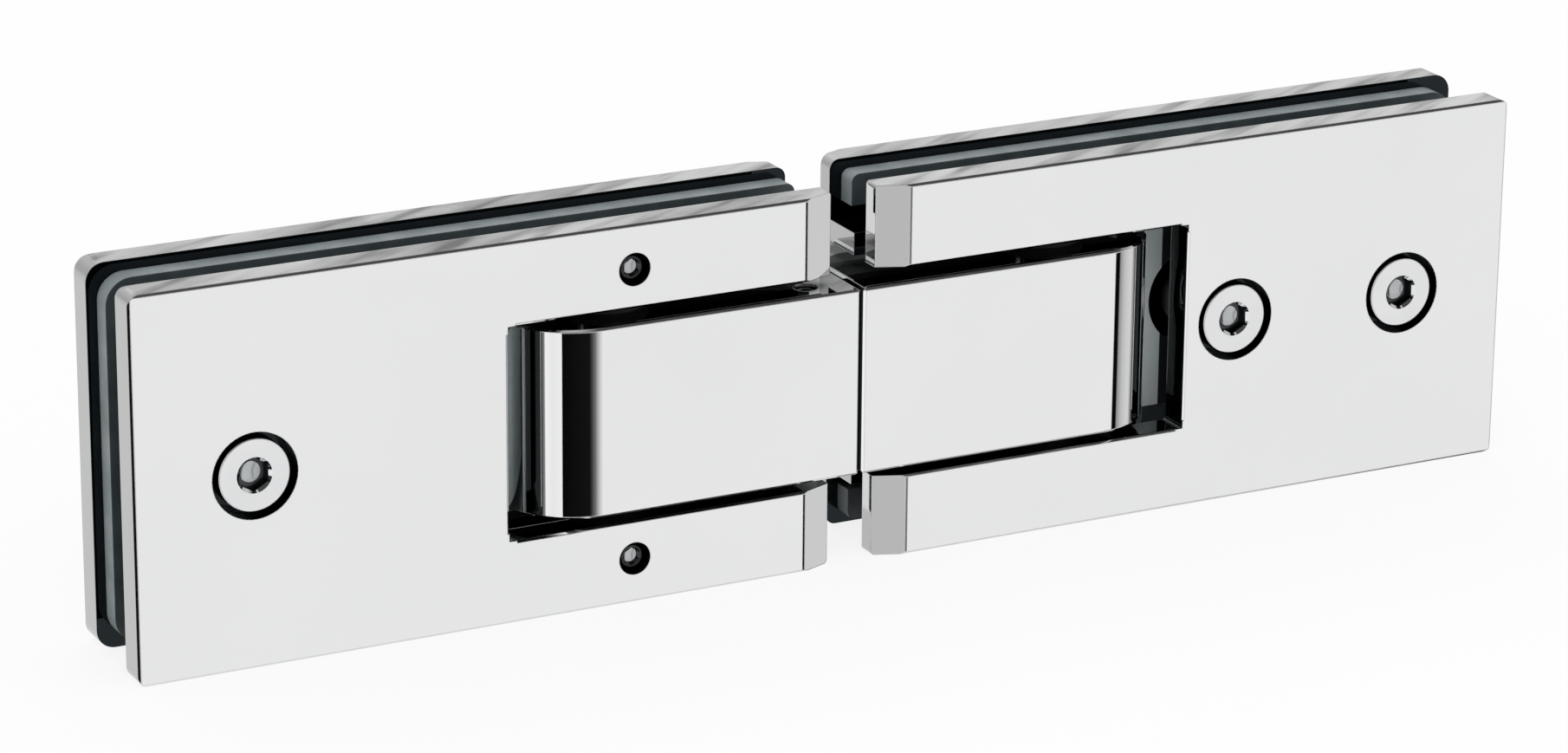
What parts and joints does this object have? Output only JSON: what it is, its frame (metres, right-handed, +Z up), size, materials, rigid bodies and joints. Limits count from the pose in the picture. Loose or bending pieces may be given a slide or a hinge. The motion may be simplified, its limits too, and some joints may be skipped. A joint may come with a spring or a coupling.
{
  "type": "glass to glass door hinge",
  "caption": "Polished chrome double-pivot hinge that clamps two glass panels edge to edge and lets each one swing both ways.",
  "frame": {"origin": "middle of the whole hinge: on the seam between the blocks, half way through the thickness and half way up", "axes": "+X along the hinge to the leaf with two clamp screws, +Y from the front face with the screw heads to the plain back face, +Z up along the pivots"},
  "size_m": [0.256, 0.027, 0.065],
  "materials": {
    "polished_chrome": "mirror-polished chrome plate on brass",
    "screw_chrome": "polished chrome-plated steel",
    "pin_steel": "ground stainless steel",
    "spring_steel": "oiled spring wire",
    "black_steel": "black oxide",
    "gasket_rubber": "smooth grey gasket sheet",
    "bush_plastic": "moulded bearing plastic"
  },
  "bodies": {
    "knuckle": {"left_block": "polished_chrome", "right_block": "polished_chrome", "left_upper_bush": "bush_plastic", "left_lower_bush": "bush_plastic", "right_upper_bush": "bush_plastic", "right_lower_bush": "bush_plastic", "left_detent_spring": "spring_steel", "right_detent_spring": "spring_steel", "left_detent_plug": "black_steel", "right_detent_plug": "black_steel", "upper_joining_stud": "pin_steel", "lower_joining_stud": "pin_steel", "upper_grub_screw": "black_steel", "lower_grub_screw": "black_steel"},
    "left_leaf": {"left_front_plate": "polished_chrome", "left_rear_plate": "polished_chrome", "left_front_gasket": "gasket_rubber", "left_rear_gasket": "gasket_rubber", "left_clamp_screw": "screw_chrome", "left_upper_set_screw": "black_steel", "left_lower_set_screw": "black_steel", "left_pivot_pin": "pin_steel"},
    "right_leaf": {"right_front_plate": "polished_chrome", "right_rear_plate": "polished_chrome", "right_front_gasket": "gasket_rubber", "right_rear_gasket": "gasket_rubber", "right_inner_clamp_screw": "screw_chrome", "right_outer_clamp_screw": "screw_chrome", "right_pivot_pin": "pin_steel"},
    "left_plunger": {"left_detent_plunger": "pin_steel"},
    "right_plunger": {"right_detent_plunger": "pin_steel"}
  },
  "joints": [
    {"name": "left_pivot", "type": "hinge", "parent": "knuckle", "child": "left_leaf", "pos_m": [-0.041, 0, 0], "axis": [0, 0, 1], "range_deg": [-90, 90]},
    {"name": "right_pivot", "type": "hinge", "parent": "knuckle", "child": "right_leaf", "pos_m": [0.041, 0, 0], "axis": [0, 0, 1], "range_deg": [-90, 90]},
    {"name": "left_detent", "type": "slide", "parent": "knuckle", "child": "left_plunger", "axis": [-1, 0, 0], "range_m": [0, 0.001], "deforming": ["left_detent_spring"]},
    {"name": "right_detent", "type": "slide", "parent": "knuckle", "child": "right_plunger", "axis": [1, 0, 0], "range_m": [0, 0.001], "deforming": ["right_detent_spring"]}
  ]
}
